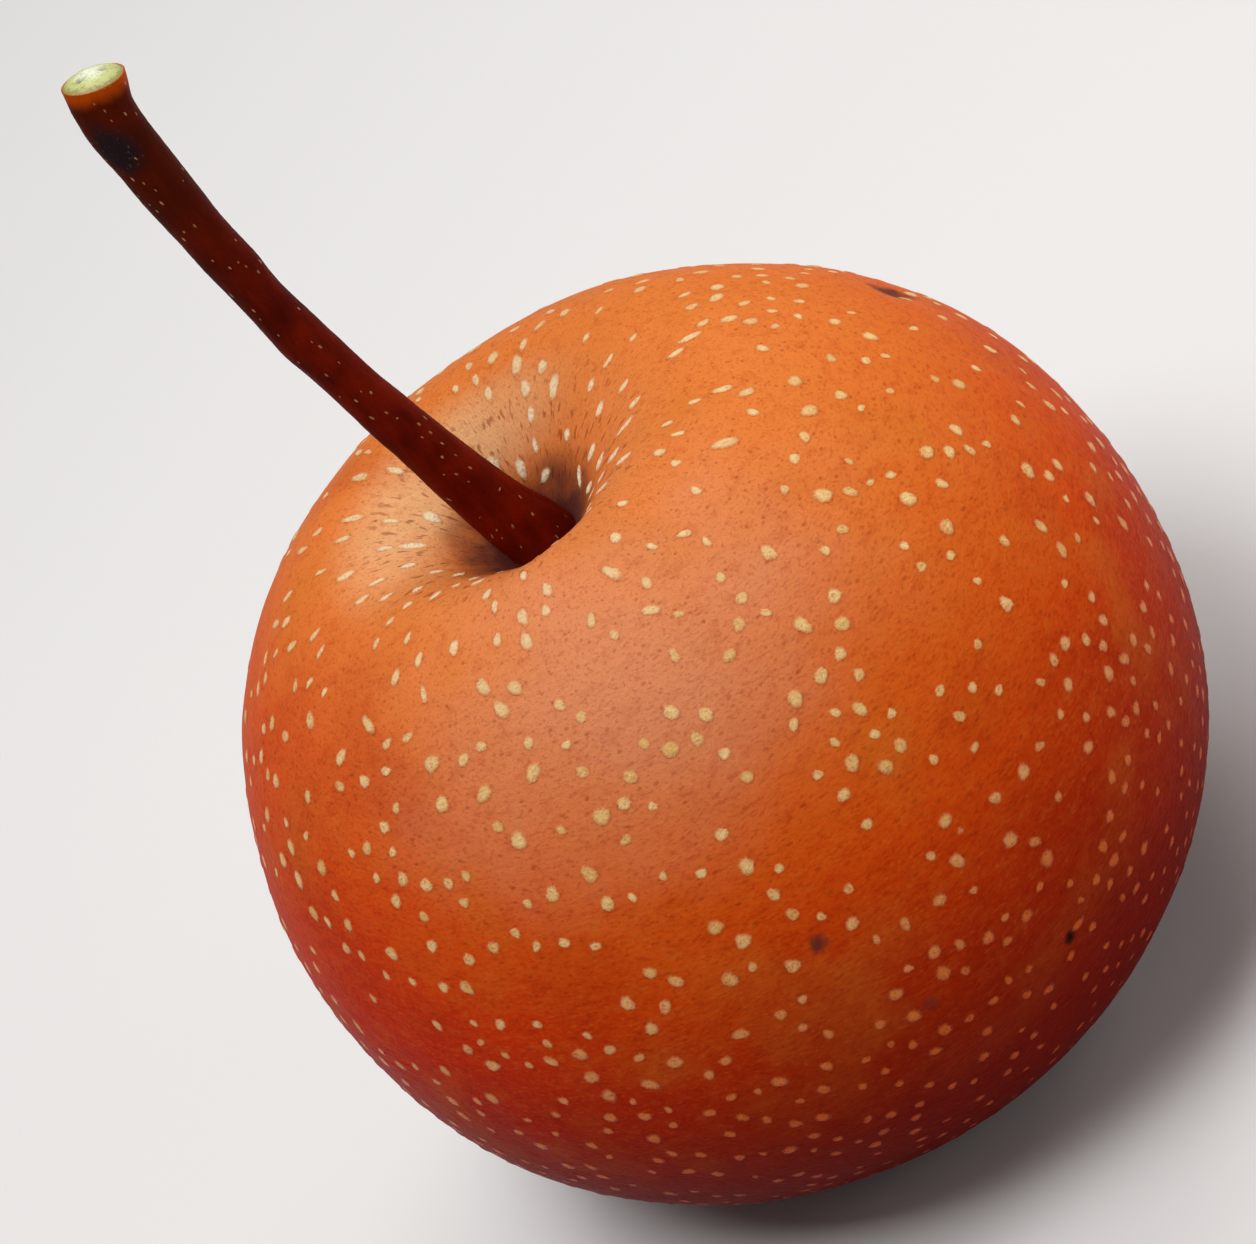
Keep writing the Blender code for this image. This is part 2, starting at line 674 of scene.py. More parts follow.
    def wall(self, graph: Graph, place: Value) -> Value:
        """How much paler the wall of the stem cavity is painted: partly its own paler cork, partly
        painted light on the far wall that faces the lamps.

        Args:
            graph: The material's graph.
            place: The place on the piece.

        Returns:
            A share from 0 to 1.
        """
        x, y, z = graph.split(place - tuple(self.crown))
        reach = graph.math("SQRT", x * x + y * y)
        patchy = graph.noise(place, 5 * MM, 2.0)
        band = graph.step(reach, 4.5 * MM, 8 * MM) * graph.step(reach, 16 * MM, 9 * MM)
        # painted light: strongest on the far side of the wall, which faces the lamps
        facing = graph.step(y * 0.9 - x * 0.5, 0.0, 9 * MM) * 0.85 + 0.1
        return band * facing * (patchy + 0.45) * graph.step(z, -20 * MM, -12 * MM)

    def pores(self, graph: Graph, place: Value) -> Value:
        """Fine dark pores of the stem cavity, drawn out towards the stem.

        Args:
            graph: The material's graph.
            place: The place on the piece.

        Returns:
            A share from 0 to 1.
        """
        x, y, z = graph.split(place - tuple(self.crown))
        reach = graph.math("SQRT", x * x + y * y)
        bearing = graph.math("ARCTAN2", y, x)
        dashes = graph.noise(graph.join(bearing * 9 * MM, reach * 0.30, 0.0), 0.36 * MM, 1.0, 0.4)
        near = graph.step(reach, 15 * MM, 9 * MM) * graph.step(z, -20 * MM, -12 * MM)
        return graph.step(dashes, 0.60, 0.70) * near * 0.6

    def mark_mask(self, graph: Graph, place: Value, mark: Mark) -> Value:
        """How strongly a mark shows at a place, with an uneven edge.

        Args:
            graph: The material's graph.
            place: The place on the piece.
            mark: The mark.

        Returns:
            A share from 0 to 1.
        """
        apart = graph.length(place - tuple(mark.place))
        ragged = apart + (graph.noise(place, mark.reach * 0.7, 2.0) - 0.5) * mark.reach
        return graph.step(ragged, mark.reach, mark.reach * 0.25) * mark.strength

    def hollow(self, graph: Graph, place: Value) -> Value:
        """How deep in the stem cavity a place is, from 0 at its lip to 1 at the stem.

        Args:
            graph: The material's graph.
            place: The place on the piece.

        Returns:
            A share from 0 to 1.
        """
        x, y, z = graph.split(place - tuple(self.crown))
        reach = graph.math("SQRT", x * x + y * y)
        ragged = reach + (graph.noise(place, 3 * MM, 2.0) - 0.5) * 3.5 * MM
        deep = graph.step(ragged, 7.6 * MM, 3.2 * MM)
        return deep * graph.step(z, -14 * MM, -8 * MM)

    def paint(self, graph: Graph, shader: bpy.types.Node) -> None:
        """Write the skin: colour, a soft waxy gloss, and grain.

        Args:
            graph: The material's graph.
            shader: Its Principled node.
        """
        place = self.place(graph)
        drawn = self.grain_place(graph, place, 0.75)
        grain = graph.noise(drawn, 0.30 * MM, 2.0, 0.6)
        dimples = graph.noise(place, 1.4 * MM, 2.0, 0.5)
        graph.feed(shader.inputs["Base Color"], self.colour(graph, place))
        graph.feed(shader.inputs["Roughness"], 0.44 + (grain - 0.5) * 0.2)
        shader.inputs["Specular IOR Level"].default_value = self.specular
        self.relief(graph, shader, grain * 0.75 + dimples, self.grain_depth)


@dataclass(frozen=True)
class Cork(Finish):
    """Pale cork of a lenticel, which fades into the skin at its edge."""

    skin: RussetSkin
    straw: Colour = (0.91, 0.62, 0.250)
    khaki: Colour = (0.79, 0.46, 0.140)
    white: Colour = (0.95, 0.82, 0.56)
    tan: Colour = (0.64, 0.100, 0.003)
    umber: Colour = (0.48, 0.052, 0.001)
    specular: float = 0.06
    crumb_depth: float = 0.22 * MM

    def paint(self, graph: Graph, shader: bpy.types.Node) -> None:
        """Write the cork: its own tone in each lenticel, whiter in the cavity, browner and darker below,
        partly its own colour and partly painted shade as on the skin, with white crumbs on the upper
        corks that partly stand for painted glints.

        Args:
            graph: The material's graph.
            shader: Its Principled node.
        """
        place = self.place(graph)
        rim = graph.attribute("rim")
        skin = self.skin.colour(graph, place)
        crumbs = graph.noise(place, 0.26 * MM, 3.0, 0.65)
        height = graph.split(place)[2]
        cork = graph.blend(graph.attribute("tone"), self.khaki, self.straw)
        # painted shade: corks browner and darker lower down, partly their own colour, partly matching
        # the skin's shaded underside
        cork = graph.blend(graph.step(height, 46 * MM, 22 * MM) * 0.97, cork, self.tan)
        cork = graph.blend(graph.step(height, 26 * MM, 12 * MM), cork, self.umber)
        cork = graph.blend(graph.attribute("white"), cork, self.white)
        cork = graph.blend(graph.step(crumbs, 0.48, 0.68) * 0.60, cork, skin)
        # white crumbs only on the upper corks: partly real pale crumbs, partly painted glints where the
        # light falls
        upper = graph.step(height, 24 * MM, 46 * MM)
        cork = graph.blend(graph.step(crumbs, 0.44, 0.30) * upper * 0.50, cork, self.white)
        edge = graph.step(rim + (crumbs - 0.5) * 1.0, 0.20, 0.95)
        colour = graph.blend(edge, skin, cork)
        graph.feed(shader.inputs["Base Color"], colour)
        graph.feed(shader.inputs["Roughness"], 0.30 + (crumbs - 0.5) * 0.5)
        shader.inputs["Specular IOR Level"].default_value = self.specular
        self.relief(graph, shader, crumbs, self.crumb_depth)


@dataclass(frozen=True)
class Bark(Finish):
    """Dark mahogany bark, redder in places and orange under the fresh cut."""

    tip: Vector
    along: Vector
    dark: Colour = (0.060, 0.0034, 0.0008)
    red: Colour = (0.200, 0.0100, 0.0012)
    orange: Colour = (0.41, 0.052, 0.001)
    brown: Colour = (0.042, 0.0065, 0.0012)
    grey: Colour = (0.013, 0.009, 0.011)
    painted_glint_grey: Colour = (0.120, 0.115, 0.130)
    patch: Vector = field(default_factory=Vector)
    specular: float = 0.015
    streak_depth: float = 0.10 * MM

    def paint(self, graph: Graph, shader: bpy.types.Node) -> None:
        """Write the bark: drawn-out streaks, a grey patch with painted glints, and the orange band at
        the cut.

        Args:
            graph: The material's graph.
            shader: Its Principled node.
        """
        place = self.place(graph)
        streaks = graph.noise(place * (1.0, 1.0, 0.22), 0.9 * MM, 3.0, 0.6)
        clouds = graph.noise(place, 5 * MM, 2.0)
        crust = graph.noise(place * (1.0, 1.0, 0.5), 0.22 * MM, 2.0, 0.6)
        lit = graph.step(streaks * 0.35 + clouds * 0.65, 0.34, 0.62)
        from_tip = graph.length(place - tuple(self.tip))
        low = graph.step(from_tip, 30 * MM, 52 * MM)
        colour = graph.blend(lit * 0.65 + low * 0.35, self.dark, self.red)
        colour = graph.blend(graph.step(from_tip, 26 * MM, 6 * MM) * 0.65, colour, self.brown)
        colour = graph.blend(graph.step(crust, 0.55, 0.8) * 0.5, colour, self.dark)
        worn = graph.length((place - tuple(self.patch)) * (1.0, 1.0, 0.62))
        worn = graph.step(worn + (clouds - 0.5) * 1.4 * MM, 1.9 * MM, 0.7 * MM)
        colour = graph.blend(worn * 0.9, colour, self.grey)
        # painted glints: pale grey flecks in the grey patch stand in for small highlights
        colour = graph.blend(graph.step(crust, 0.60, 0.72) * worn * 0.5, colour, self.painted_glint_grey)
        x, y, z = graph.split(place - tuple(self.tip))
        below = (x * self.along.x + y * self.along.y + z * self.along.z) * -1.0
        band = graph.step(below + (streaks - 0.5) * 0.8 * MM, 1.5 * MM, 0.15 * MM)
        colour = graph.blend(band, colour, self.orange)
        graph.feed(shader.inputs["Base Color"], colour)
        graph.feed(shader.inputs["Roughness"], 0.50 + (crust - 0.5) * 0.3)
        shader.inputs["Specular IOR Level"].default_value = self.specular
        self.relief(graph, shader, streaks + crust * 0.4, self.streak_depth)


@dataclass(frozen=True)
class BarkFleck(Finish):
    """Tan cork of the stem's tiny lenticels."""

    tan: Colour = (0.42, 0.22, 0.075)
    brown: Colour = (0.16, 0.045, 0.012)
    specular: float = 0.2

    def paint(self, graph: Graph, shader: bpy.types.Node) -> None:
        """Write the fleck: tan on top, and brown at its edge.

        Args:
            graph: The material's graph.
            shader: Its Principled node.
        """
        crumbs = graph.noise(self.place(graph), 0.12 * MM, 2.0)
        share = graph.step(graph.attribute("rim") + (crumbs - 0.5) * 0.6, 0.2, 0.8)
        share = share * (graph.attribute("tone") * 0.6 + 0.4)
        graph.feed(shader.inputs["Base Color"], graph.blend(share, self.brown, self.tan))
        graph.feed(shader.inputs["Roughness"], 0.5 + (crumbs - 0.5) * 0.3)
        shader.inputs["Specular IOR Level"].default_value = self.specular


@dataclass(frozen=True)
class CutWood(Finish):
    """Moist pale green wood of a fresh cut, whiter at its pith."""

    middle: Vector
    green: Colour = (0.55, 0.60, 0.22)
    cream: Colour = (0.86, 0.92, 0.70)
    olive: Colour = (0.32, 0.25, 0.07)
    pit: Colour = (0.15, 0.100, 0.03)
    fibre_depth: float = 0.10 * MM

    def paint(self, graph: Graph, shader: bpy.types.Node) -> None:
        """Write the cut: a cream pith in a green ring, with fibres.

        Args:
            graph: The material's graph.
            shader: Its Principled node.
        """
        place = self.place(graph)
        fibres = graph.noise(place, 0.25 * MM, 3.0, 0.65)
        out = graph.length(place - tuple(self.middle)) + (fibres - 0.5) * 0.9 * MM
        colour = graph.blend(graph.step(out, 0.7 * MM, 1.6 * MM), self.cream, self.green)
        colour = graph.blend(graph.step(out, 1.7 * MM, 2.2 * MM), colour, self.olive)
        colour = graph.blend(graph.step(fibres, 0.52, 0.72) * 0.6, colour, self.olive)
        colour = graph.blend(graph.attribute("pit"), colour, self.pit)
        graph.feed(shader.inputs["Base Color"], colour)
        graph.feed(shader.inputs["Roughness"], 0.25 + fibres * 0.2)
        self.relief(graph, shader, fibres, self.fibre_depth)


@dataclass(frozen=True)
class DryCork(Finish):
    """Dry brown cork of the scar that the flower left in the calyx basin."""

    tan: Colour = (0.19, 0.080, 0.030)
    brown: Colour = (0.045, 0.018, 0.009)
    specular: float = 0.1
    crack_depth: float = 0.25 * MM

    def paint(self, graph: Graph, shader: bpy.types.Node) -> None:
        """Write the scar: cracked, and darker in its cracks.

        Args:
            graph: The material's graph.
            shader: Its Principled node.
        """
        place = self.place(graph)
        crumbs = graph.noise(place, 0.5 * MM, 4.0, 0.65)
        cells = graph.node(
            "ShaderNodeTexVoronoi",
            {"feature": "DISTANCE_TO_EDGE"},
            {"Vector": place, "Scale": 1.0 / (0.9 * MM)},
        )["Distance"]
        cracks = graph.step(cells, 0.14, 0.02)
        colour = graph.blend(graph.step(crumbs, 0.35, 0.65), self.tan, self.brown)
        colour = graph.blend(cracks * 0.8, colour, self.brown)
        graph.feed(shader.inputs["Base Color"], colour)
        graph.feed(shader.inputs["Roughness"], 0.8 + (crumbs - 0.5) * 0.2)
        shader.inputs["Specular IOR Level"].default_value = self.specular
        self.relief(graph, shader, crumbs - cracks * 0.6, self.crack_depth)


@dataclass(frozen=True)
class StudioPaper(Finish):
    """Matt off-white paper for the floor."""

    pale: Colour = (0.86, 0.86, 0.86)
    tooth: Colour = (0.80, 0.80, 0.80)
    roughness: float = 0.9

    def paint(self, graph: Graph, shader: bpy.types.Node) -> None:
        """Write the paper, with a hardly visible tooth.

        Args:
            graph: The material's graph.
            shader: Its Principled node.
        """
        tooth = graph.noise(self.place(graph), 3 * MM, 2.0)
        graph.feed(shader.inputs["Base Color"], graph.blend(tooth * 0.04, self.pale, self.tooth))
        shader.inputs["Roughness"].default_value = self.roughness


# ---------------------------------------------------------------------- fruit


@dataclass
class Fruit:
    """The fruit's one skin. Its rule is the solid's, and its box is the solid's box."""

    radius: float = 36.5 * MM
    crown_rise: float = 35.5 * MM
    base_drop: float = 31.8 * MM
    crown_fullness: float = 2.06
    base_fullness: float = 2.18
    bowl_depth: float = 3.0 * MM
    bowl_width: float = 15.0 * MM
    cone_depth: float = 9.5 * MM
    cone_width: float = 8.7 * MM
    cone_rounding: float = 1.5
    cavity_drift: float = 1.6 * MM
    basin_depth: float = 5.0 * MM
    basin_width: float = 10.0 * MM
    rim_flat: float = 0.25 * MM
    oval: float = 0.0024
    oval_bearing: float = math.radians(95)
    lobes: float = 0.0082
    lobe_bearing: float = math.radians(47)
    high_shoulder: float = 0.036
    high_shoulder_bearing: float = math.radians(203)
    meridians: int = 360
    parallels: int = 270
    low: Vector = field(default_factory=lambda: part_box(FRUIT_NODE)[0])
    high: Vector = field(default_factory=lambda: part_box(FRUIT_NODE)[1])

    @property
    def crown(self) -> Vector:
        """The point on the cavity's axis at the height of the crown."""
        middle = (self.low + self.high) / 2
        return Vector((middle.x - self.cavity_drift, middle.y, self.high.z))

    def surface_point(self, bearing: float, height: float) -> Vector:
        """A point on the solid's surface.

        Args:
            bearing: The way to look from the fruit's axis, in degrees from +X towards +Y.
            height: The height above the surface that the fruit stands on.

        Returns:
            The point.
        """
        turn = math.radians(bearing)
        way = Vector((math.cos(turn), math.sin(turn), 0.0))
        start = Vector((0.0, 0.0, height)) + way * self.radius * 2
        hit, point, _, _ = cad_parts[FRUIT_NODE].ray_cast(start, -way)
        if not hit:
            raise ValueError(f"no surface at bearing {bearing} and height {height}")
        return point

    def marks(self) -> tuple[Mark, ...]:
        """The marks that handling has left on this fruit.

        Returns:
            The marks, in their places on the solid's surface.
        """
        bruise, scab, pit = (0.075, 0.018, 0.016), (0.10, 0.022, 0.018), (0.012, 0.003, 0.002)
        pale = (0.62, 0.30, 0.13)
        return (
            Mark(self.surface_point(-96.8, 35.9 * MM), 1.0 * MM, 0.25 * MM, scab, 0.9),
            Mark(self.surface_point(-73.8, 21.2 * MM), 0.80 * MM, 0.22 * MM, pit, 1.0),
            Mark(self.surface_point(-91.4, 26.0 * MM), 0.9 * MM, 0.05 * MM, bruise, 0.4),
            Mark(self.surface_point(9.0, 47.9 * MM), 2.3 * MM, 0.35 * MM, bruise, 0.9),
            Mark(self.surface_point(-76.5, 35.5 * MM), 0.35 * MM, 0.03 * MM, pale, 0.7),
            Mark(self.surface_point(-73.3, 32.2 * MM), 0.30 * MM, 0.03 * MM, pale, 0.7),
        )

    def skin_tree(self, material: bpy.types.Material, marks: Sequence[Mark]) -> GeometryGraph:
        """The tree that grows the skin from a sphere.

        Args:
            material: The skin's finish.
            marks: The marks that dent it.

        Returns:
            The tree.
        """
        tree = GeometryGraph(
            "grow_skin",
            {
                "Material": material,
                "Meridians": self.meridians,
                "Parallels": self.parallels,
                "Radius": self.radius,
                "Rise": self.crown_rise,
                "Drop": self.base_drop,
                "Lowest Corner": tuple(self.low),
                "Highest Corner": tuple(self.high),
            },
        )
        counts = {"Segments": tree["Meridians"], "Rings": tree["Parallels"], "Radius": 1.0}
        ball = tree.node("GeometryNodeMeshUVSphere", inputs=counts)["Mesh"]
        fruit = tree.moved(ball, place=self._grown_place(tree))
        fruit = tree.moved(fruit, by=self._unevenness(tree, marks))
        fruit = self._stood(tree, fruit)
        tree.finish(fruit)
        return tree

    def _grown_place(self, tree: GeometryGraph) -> Value:
        """Where each point of a unit sphere ends up on the fruit.

        Args:
            tree: The skin's tree.

        Returns:
            Each point's place.
        """
        x, y, cosine = tree.split(tree.node("GeometryNodeInputPosition")["Position"])
        sine = tree.math("SQRT", x * x + y * y)
        upper = tree.math("GREATER_THAN", cosine, 0.0)
        lower = 1.0 - upper
        power = upper * (2 / self.crown_fullness) + lower * (2 / self.base_fullness)
        share = sine**power
        reach = share * tree["Radius"]
        height = tree.math("ABSOLUTE", cosine) ** power
        bowl = tree.bell(reach, self.bowl_width) * self.bowl_depth
        cone = tree.math("EXPONENT", (reach / self.cone_width) ** self.cone_rounding * -1.0)
        crown = height * tree["Rise"] - bowl - cone * self.cone_depth
        base = tree.bell(reach, self.basin_width) * self.basin_depth - height * tree["Drop"]
        bearing = tree.math("ARCTAN2", y, x)
        oval = tree.math("COSINE", (bearing - self.oval_bearing) * 2.0) * self.oval
        lobes = tree.math("COSINE", (bearing - self.lobe_bearing) * 3.0) * self.lobes
        slope = tree.math("COSINE", bearing - self.high_shoulder_bearing) * self.high_shoulder
        swollen = reach * (1.0 + share * (oval + lobes))
        drift = upper * (1.0 - share * share) ** 2 * self.cavity_drift
        crown = crown * (1.0 + share * slope)
        return tree.join(
            swollen * tree.math("COSINE", bearing) - drift,
            swollen * tree.math("SINE", bearing),
            upper * crown + lower * base,
        )

    def _unevenness(self, tree: GeometryGraph, marks: Sequence[Mark]) -> Value:
        """How far each point is moved by lumps, folds and dents.

        Args:
            tree: The skin's tree.
            marks: The marks that dent it.

        Returns:
            Each point's offset.
        """
        place = tree.node("GeometryNodeInputPosition")["Position"]
        normal = tree.node("GeometryNodeInputNormal")["Normal"]
        x, y, z = tree.split(place)
        upper = tree.math("GREATER_THAN", z, 0.0)
        lower = 1.0 - upper
        lumps = (tree.noise(place, 17 * MM, 1.0) - 0.5) * 0.5 * MM
        lumps = lumps + (tree.noise(place, 5 * MM, 1.0) - 0.5) * 0.16 * MM
        hollow_x = x + self.cavity_drift
        reach = tree.math("SQRT", hollow_x * hollow_x + y * y)
        bearing = tree.math("ARCTAN2", y, hollow_x)
        round_way = tree.join(tree.math("COSINE", bearing), tree.math("SINE", bearing), reach * 25.0)
        folds = (tree.noise(round_way, 0.55, 2.0, 0.6) - 0.5) * 0.9 * MM
        cavity = tree.step(reach, 12 * MM, 5 * MM) * upper
        basin = tree.step(reach, 10.5 * MM, 5 * MM) * lower
        pucker = tree.math("COSINE", bearing * 5.0 + 0.4) * 0.35 * MM
        inward = folds * (cavity * 0.6 + basin) + pucker * basin
        dents = 0.0
        for mark in marks:
            foot = Vector(mark.place) - Vector((0.0, 0.0, self.widest_height))
            apart = tree.length(place - tuple(foot))
            dents = tree.bell(apart, mark.reach * 0.7) * mark.dent + dents
        return normal * (lumps + inward - dents)

    @property
    def widest_height(self) -> float:
        """How high the fruit's widest level is, found from the depth of its underside.

        Returns:
            The height above the floor.
        """
        steps = 400
        reaches = [self.radius * step / steps for step in range(steps)]
        lowest = min(self._base_height(reach) for reach in reaches)
        return -(lowest + self.rim_flat)

    def _base_height(self, reach: float) -> float:
        """Height of the underside at a distance from the axis, below the widest level.

        Args:
            reach: The distance from the axis.

        Returns:
            The height, which is negative outside the basin.
        """
        share = max(0.0, 1.0 - (reach / self.radius) ** self.base_fullness)
        basin = self.basin_depth * math.exp(-((reach / self.basin_width) ** 2))
        return basin - self.base_drop * share ** (1.0 / self.base_fullness)

    def _stood(self, tree: GeometryGraph, fruit: Value) -> Value:
        """Press the fruit's rim flat and fit the fruit to the solid's box.

        Args:
            tree: The skin's tree.
            fruit: The fruit's geometry.

        Returns:
            The fitted geometry.
        """
        lowest = tree.node("GeometryNodeBoundBox", inputs={"Geometry": fruit})["Min"]
        ground = tree.split(lowest)[2] + self.rim_flat
        x, y, z = tree.split(tree.node("GeometryNodeInputPosition")["Position"])
        fruit = tree.moved(fruit, place=tree.join(x, y, tree.math("MAXIMUM", z, ground)))
        box = tree.node("GeometryNodeBoundBox", inputs={"Geometry": fruit})
        place = tree.node("GeometryNodeInputPosition")["Position"]
        share = (place - box["Min"]) / (box["Max"] - box["Min"])
        wide = tree["Highest Corner"] - tree["Lowest Corner"]
        return tree.moved(fruit, place=tree["Lowest Corner"] + share * wide)

    def build(self, finish: RussetSkin) -> bpy.types.Object:
        """Grow the skin, in place of the solid fruit.

        Args:
            finish: The skin's finish, with its marks.

        Returns:
            The piece.
        """
        piece = new_piece("fruit_skin")
        self.skin_tree(finish.material(), finish.marks).run_on(piece)
        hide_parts(FRUIT_NODE)
        return piece


# ------------------------------------------------------------------ lenticels


class Sprinkle(Enum):
    """What is scattered over a surface."""

    LENTICELS = "lenticels"
    STEM_FLECKS = "stem_flecks"


@dataclass
class Lenticels:
    """Small raised corks, scattered over a surface from a fixed seed."""

    kind: Sprinkle
    sides: int
    spacing: float
    density: float
    smallest: float
    largest: float
    seed: int
    rise: float = 0.10
    forms: int = 3

    def bud(self, form: int) -> bpy.types.Object:
        """One closed cork of radius 1, with its rim just under the surface.

        Args:
            form: Which of its outlines it has.

        Returns:
            An object that isn't shown.
        """
        shape = bmesh.new()
        rim = shape.verts.layers.float.new("rim")
        rings = (
            (1.14, -0.16, 0.0),
            (1.0, -0.07, 0.0),
            (0.80, self.rise * 0.34, 0.28),
            (0.56, self.rise * 0.78, 0.72),
            (0.28, self.rise, 1.0),
        )
        loops = []
        for reach, height, edge in rings:
            loop = []
            for side in range(self.sides):
                turn = math.tau * side / self.sides
                wave = 1.0 + 0.08 * math.cos(2 * turn + form * 2.1) + 0.06 * math.cos(3 * turn + form)
                vert = shape.verts.new(
                    (reach * wave * math.cos(turn), reach * wave * math.sin(turn), height)
                )
                vert[rim] = edge
                loop.append(vert)
            loops.append(loop)
        middle = shape.verts.new((0.0, 0.0, self.rise * (0.62, 1.04, 0.85)[form % 3]))
        middle[rim] = 1.0
        for inner, outer in zip(loops[1:], loops):
            for side in range(self.sides):
                after = (side + 1) % self.sides
                shape.faces.new((outer[side], outer[after], inner[after], inner[side]))
        for side in range(self.sides):
            shape.faces.new((loops[-1][side], loops[-1][(side + 1) % self.sides], middle))
        shape.faces.new(list(reversed(loops[0])))
        bmesh.ops.recalc_face_normals(shape, faces=shape.faces)
        bud = new_piece(f"{self.kind.value}_bud_{form}", mesh_from(shape, "bud"))
        bud.hide_render = True
        return bud

    def tree(
        self, material: bpy.types.Material, crown: Vector, buds: Sequence[bpy.types.Object]
    ) -> GeometryGraph:
        """The tree that scatters the corks over the surface that it is run on.

        Args:
            material: Their finish.
            crown: The point on the cavity's axis at the height of the crown.
            buds: The forms to choose from.

        Returns:
            The tree.
        """
        inputs: dict[str, Any] = {
            "Material": material,
            "Crown": tuple(crown),
            "Spacing": self.spacing,
            "Density": self.density,
            "Smallest": self.smallest,
            "Largest": self.largest,
            "Seed": self.seed,
            "Ground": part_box(FRUIT_NODE)[0].z,
        }
        inputs.update({f"Form {number}": bud for number, bud in enumerate(buds)})
        tree = GeometryGraph(self.kind.value, inputs)
        place = tree.node("GeometryNodeInputPosition")["Position"]
        to_crown = tree["Crown"] - place
        x, y, z = tree.split(to_crown)
        reach = tree.math("SQRT", x * x + y * y)
        hollow = tree.step(reach, 15 * MM, 6 * MM) * tree.step(z, 20 * MM, 12 * MM)
        shoulder = tree.step(reach, 29 * MM, 12 * MM) * tree.step(z, 22 * MM, 12 * MM)
        scatter = tree.node(
            "GeometryNodeDistributePointsOnFaces",
            {"distribute_method": "POISSON"},
            {
                "Mesh": tree.source["Geometry"],
                "Distance Min": tree["Spacing"],
                "Density Max": tree["Density"],
                "Density Factor": self._crowding(tree, reach, z, hollow),
                "Seed": tree["Seed"],
            },
        )
        points = tree.stored(scatter["Points"], "white", shoulder * 0.45 + hollow * 0.55)
        points = tree.stored(points, "up", scatter["Normal"], kind="FLOAT_VECTOR")
        upright = tree.node(
            "FunctionNodeAlignRotationToVector", {"axis": "Z"}, {"Vector": scatter["Normal"]}
        )["Rotation"]
        facing = tree.node(
            "FunctionNodeAlignRotationToVector",
            {"axis": "X", "pivot_axis": "Z"},
            {"Rotation": upright, "Vector": to_crown},
        )["Rotation"]
        spin = tree.random(-math.pi, math.pi, self.seed + 1) * (1.0 - shoulder) ** 2
        turned = tree.node(
            "FunctionNodeRotateRotation",
            {"rotation_space": "LOCAL"},
            {"Rotation": facing, "Rotate By": tree.join(0.0, 0.0, spin)},
        )["Rotation"]
        forms = tree.node("GeometryNodeJoinGeometry")
        instances = [
            tree.node(
                "GeometryNodeObjectInfo", inputs={"Object": tree[f"Form {index}"], "As Instance": True}
            )
            for index in range(len(buds))
        ]
        for instance in reversed(instances):
            tree.tree.links.new(instance["Geometry"].socket, forms.node.inputs[0])
        put = tree.node(
            "GeometryNodeInstanceOnPoints",
            inputs={
                "Points": points,
                "Instance": forms["Geometry"],
                "Pick Instance": True,
                "Instance Index": tree.math("FLOOR", tree.random(0.0, len(buds) - 0.001, self.seed + 2)),
                "Rotation": turned,
                "Scale": self._size(tree, shoulder, z),
            },
        )["Instances"]
        put = tree.stored(put, "tone", tree.random(0.0, 1.0, self.seed + 3), "INSTANCE")
        real = tree.node("GeometryNodeRealizeInstances", inputs={"Geometry": put})["Geometry"]
        tree.finish(self._crumpled(tree, real))
        return tree

    def _crowding(self, tree: GeometryGraph, reach: Value, depth: Value, hollow: Value) -> Value:
        """How crowded the corks are: densest low on the fruit, and close together in the cavity.

        Args:
            tree: The scattering tree.
            reach: How far a place is from the cavity's axis.
            depth: How far it is below the crown.
            hollow: How far inside the cavity it is, from 0 to 1.

        Returns:
            The share of the full density at each place.
        """
        if self.kind is Sprinkle.STEM_FLECKS:
            return tree.noise(tree.node("GeometryNodeInputPosition")["Position"], 4 * MM) * 0.6
        low = tree.step(depth, 16 * MM, 50 * MM)
        patchy = tree.noise(tree.node("GeometryNodeInputPosition")["Position"], 7 * MM)
        clear = tree.step(reach, 4.2 * MM, 5.6 * MM)
        height = tree.split(tree.node("GeometryNodeInputPosition")["Position"])[2] - tree["Ground"]
        clear = clear * tree.step(height, 0.35 * MM, 0.8 * MM)
        sparse = 1.0 - tree.step(height, 13 * MM, 3 * MM) * 0.45
        return (low * 0.38 + hollow * 0.10 + patchy * 0.50 + 0.26) * clear * sparse

    def _size(self, tree: GeometryGraph, shoulder: Value, depth: Value) -> Value:
        """Each cork's size: drawn out towards the stem in the cavity, and smaller low down.

        Args:
            tree: The scattering tree.
            shoulder: How near the cavity a cork is, from 0 to 1.
            depth: How far it is below the crown.

        Returns:
            Its size along, across and up.
        """
        small = tree.math("POWER", tree.random(0.0, 1.0, self.seed + 4), 1.3)
        size = self.smallest + small * (self.largest - self.smallest)
        size = size * (1.0 - tree.step(depth, 25 * MM, 58 * MM) * 0.40)
        stretch = 1.0 + shoulder * tree.random(0.1, 0.9, self.seed + 5)
        narrow = 1.0 - shoulder * 0.25
        return tree.join(size * stretch, size * narrow * tree.random(0.75, 1.0, self.seed + 6), size)

